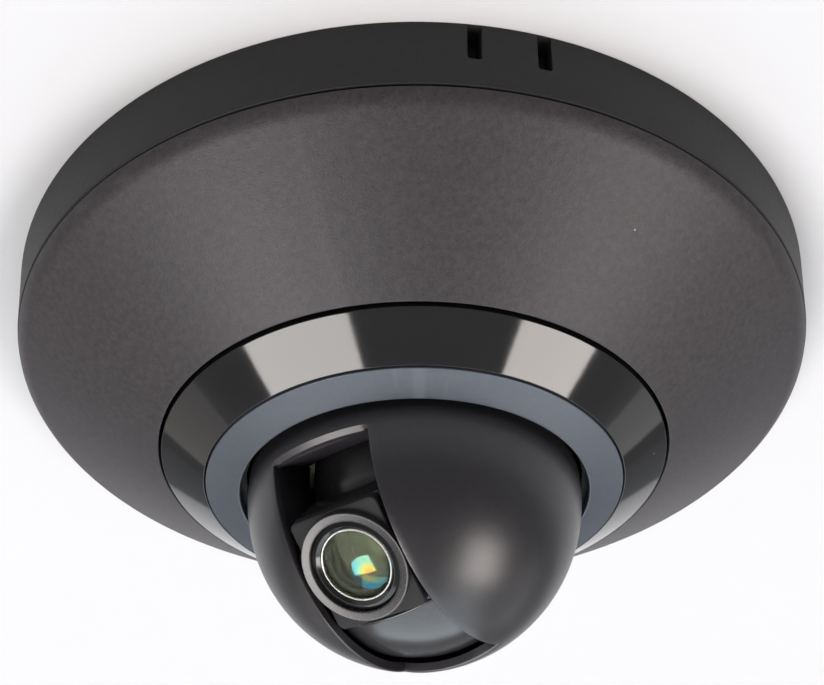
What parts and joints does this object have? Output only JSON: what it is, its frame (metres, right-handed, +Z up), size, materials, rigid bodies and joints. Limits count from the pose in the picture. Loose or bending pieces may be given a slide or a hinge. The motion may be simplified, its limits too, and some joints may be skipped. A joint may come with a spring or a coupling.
{
  "type": "ptz camera",
  "caption": "Ceiling-mounted mini dome camera: round conical case with a motor-driven ball that pans, and a lens unit that tilts in the ball's slot and zooms.",
  "frame": {"origin": "centre of the flat face that meets the ceiling", "axes": "+Z up into the ceiling along the pan axis, the camera hangs towards -Z; at rest the lens faces -Y and down, and +X is along the tilt axis"},
  "size_m": [0.11, 0.11, 0.0468],
  "materials": {
    "case_charcoal": "matte, fine texture",
    "cover_grey": "matte, fine texture",
    "gloss_black": "polished",
    "satin_grey": "satin",
    "felt_black": "felt",
    "ball_black": "satin",
    "drum_black": "satin",
    "plate_grey": "satin",
    "barrel_black": "satin",
    "bright_ring": "polished",
    "lens_glass": "coated, polished",
    "board_green": "solder mask",
    "chip_black": "matte",
    "connector_cream": "satin",
    "steel": "satin",
    "motor_steel": "satin",
    "die_cast": "cast, satin",
    "contact_gold": "plated",
    "bronze": "satin",
    "acetal_white": "satin",
    "cable_black": "matte",
    "button_dark": "satin"
  },
  "bodies": {
    "root": {"bottom_case": "case_charcoal", "top_cover": "cover_grey", "trim_ring": "gloss_black", "inner_ring": "satin_grey", "light_seal": "felt_black", "cover_screws": "steel", "main_board": "board_green", "board_parts": "chip_black", "board_screws": "steel", "network_jack": "motor_steel", "jack_contacts": "contact_gold", "head_connector": "connector_cream", "reset_switch": "motor_steel", "chassis": "die_cast", "chassis_screws": "steel", "thrust_washer": "acetal_white", "retaining_clip": "steel", "pan_motor": "motor_steel", "pan_motor_screws": "steel"},
    "reset_button": {"reset_button": "button_dark"},
    "pan_drive": {"pan_motor_shaft": "steel", "pan_pinion": "acetal_white"},
    "pan_head": {"turntable": "acetal_white", "pan_bush": "bronze", "yoke": "die_cast", "yoke_screws": "steel", "ball_shell": "ball_black", "ball_screws": "steel", "tilt_motor": "motor_steel", "tilt_motor_screws": "steel", "head_cable": "cable_black"},
    "tilt_drive": {"tilt_motor_shaft": "steel", "tilt_pinion": "acetal_white"},
    "lens_head": {"tilt_drum": "drum_black", "left_tilt_pin": "steel", "right_tilt_pin": "steel", "tilt_gear": "acetal_white", "lens_plate": "plate_grey", "lens_barrel": "barrel_black", "retaining_ring": "bright_ring", "front_lens": "lens_glass", "second_lens": "lens_glass", "zoom_rod": "steel", "zoom_motor": "motor_steel", "ir_filter": "lens_glass", "image_sensor": "chip_black", "sensor_board": "board_green", "drum_cap": "drum_black", "cap_screws": "steel"},
    "zoom_group": {"zoom_carriage": "barrel_black", "zoom_lens": "lens_glass"},
    "zoom_drive": {"zoom_screw": "steel"}
  },
  "joints": [
    {"name": "pan", "type": "hinge", "parent": "root", "child": "pan_head", "pos_m": [0, 0, -0.0263], "axis": [0, 0, 1], "range_deg": [-170, 170]},
    {"name": "pan_motor_turn", "type": "hinge", "parent": "root", "child": "pan_drive", "pos_m": [-0.0198, -0.0198, -0.0107], "axis": [0, 0, 1], "range_deg": [-1420, 1420]},
    {"name": "tilt", "type": "hinge", "parent": "pan_head", "child": "lens_head", "pos_m": [0, 0, -0.0263], "axis": [-1, 0, 0], "range_deg": [-40, 20]},
    {"name": "tilt_motor_turn", "type": "hinge", "parent": "pan_head", "child": "tilt_drive", "pos_m": [0.0106, 0.00456, -0.0174], "axis": [-1, 0, 0], "range_deg": [-121, 121]},
    {"name": "zoom", "type": "slide", "parent": "lens_head", "child": "zoom_group", "axis": [0, -0.6428, -0.766], "range_m": [0, 0.003]},
    {"name": "zoom_motor_turn", "type": "hinge", "parent": "lens_head", "child": "zoom_drive", "pos_m": [0, -0.00372, -0.02357], "axis": [0, -0.6428, -0.766], "range_deg": [-10, 2170]},
    {"name": "reset_press", "type": "slide", "parent": "root", "child": "reset_button", "axis": [0, 0, 1], "range_m": [0, 0.0004], "stiffness_N_per_m": 150}
  ],
  "couplings": [
    {"joint": "pan_motor_turn", "follows": "pan", "ratio": -8.3333},
    {"joint": "tilt_motor_turn", "follows": "tilt", "ratio": -3},
    {"joint": "zoom_motor_turn", "follows": "zoom", "rad_per_m": 12566}
  ]
}
